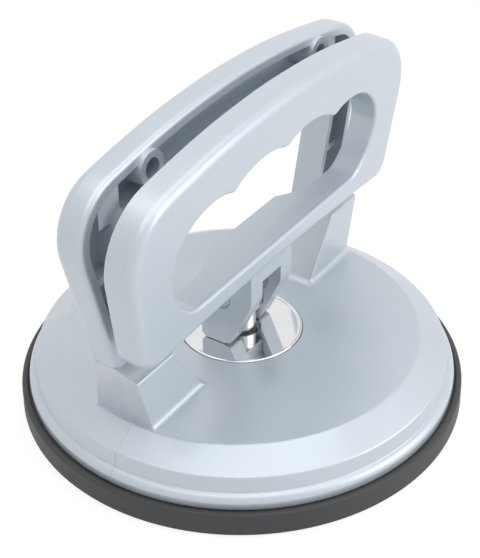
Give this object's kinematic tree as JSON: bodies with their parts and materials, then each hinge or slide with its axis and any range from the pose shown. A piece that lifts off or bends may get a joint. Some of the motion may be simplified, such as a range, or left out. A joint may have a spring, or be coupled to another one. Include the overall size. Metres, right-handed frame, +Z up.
{
  "type": "suction lifter",
  "caption": "Hand-held vacuum cup for lifting glass and flat panels: rubber pad, fixed grip arch and a lever that draws the pad's middle up.",
  "frame": {"origin": "centre of the pad at the plane of its lip, the face that meets the glass", "axes": "+Z up along the draw stud, +X along the grip and the pivot pin, -Y towards the lever, +Y towards the fixed arch"},
  "size_m": [0.1206, 0.12, 0.0922],
  "materials": {
    "painted_casting": "satin silver paint on a die casting",
    "polished_dish": "mirror polished",
    "pad_rubber": "matt moulded rubber",
    "plated_steel": "bright zinc plated",
    "spring_wire": "drawn spring wire"
  },
  "bodies": {
    "base": {"base_casting": "painted_casting", "wear_dish": "polished_dish", "suction_pad": "pad_rubber", "spring_seat": "plated_steel", "return_spring": "spring_wire"},
    "stud": {"draw_stud": "plated_steel", "pull_plate": "plated_steel", "stud_washer": "plated_steel", "plate_nut": "plated_steel", "pad_centre": "pad_rubber"},
    "lever": {"lever_casting": "painted_casting", "pivot_pin": "plated_steel"}
  },
  "joints": [
    {"name": "stud_slide", "type": "slide", "parent": "base", "child": "stud", "axis": [0, 0, 1], "range_m": [-0.00209, 0], "deforming": ["return_spring"]},
    {"name": "lever_swing", "type": "hinge", "parent": "stud", "child": "lever", "pos_m": [0, 0, 0.0325], "axis": [1, 0, 0], "range_deg": [0, 75]}
  ],
  "couplings": [
    {"joint": "lever_swing", "follows": "stud_slide", "rad_per_m": -625}
  ]
}
